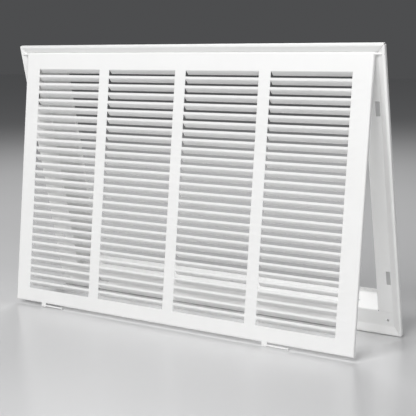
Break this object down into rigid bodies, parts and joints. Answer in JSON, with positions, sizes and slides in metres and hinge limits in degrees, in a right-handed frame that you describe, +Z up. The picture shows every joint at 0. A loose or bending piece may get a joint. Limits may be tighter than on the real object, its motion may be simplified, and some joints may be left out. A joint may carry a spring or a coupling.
{
  "type": "return air grille",
  "caption": "Hinged return air filter grille of white sheet steel: louvred stamped door on a rolled wall frame with a duct collar, stood open as a tent.",
  "frame": {"origin": "on the floor, under the middle of the bounding box of the open grille", "axes": "+X along the frame's width, to the right seen from the room side; -Y to the room side, where the door swings out; +Z up"},
  "size_m": [0.6256, 0.1904, 0.4148],
  "materials": {
    "white_enamel": "smooth semi-gloss white powder enamel"
  },
  "bodies": {
    "frame": {"top_rail": "white_enamel", "bottom_rail": "white_enamel", "left_rail": "white_enamel", "right_rail": "white_enamel"},
    "door": {"door_panel": "white_enamel", "hinge_pin_left": "white_enamel", "hinge_pin_right": "white_enamel", "latch_rivet_left": "white_enamel", "latch_rivet_right": "white_enamel"},
    "lever_left": {"latch_left": "white_enamel"},
    "lever_right": {"latch_right": "white_enamel"}
  },
  "joints": [
    {"name": "door_hinge", "type": "hinge", "parent": "frame", "child": "door", "pos_m": [0, -0.04187, 0.40055], "axis": [-1, 0, 0], "range_deg": [-19.2, 80.8]},
    {"name": "latch_left_pivot", "type": "hinge", "parent": "door", "child": "lever_left", "pos_m": [-0.239, -0.09324, 0.00366], "axis": [0, -0.9921, 0.1251], "range_deg": [0, 3.2]},
    {"name": "latch_right_pivot", "type": "hinge", "parent": "door", "child": "lever_right", "pos_m": [0.1645, -0.09324, 0.00366], "axis": [0, -0.9921, 0.1251], "range_deg": [0, 3.2]}
  ]
}
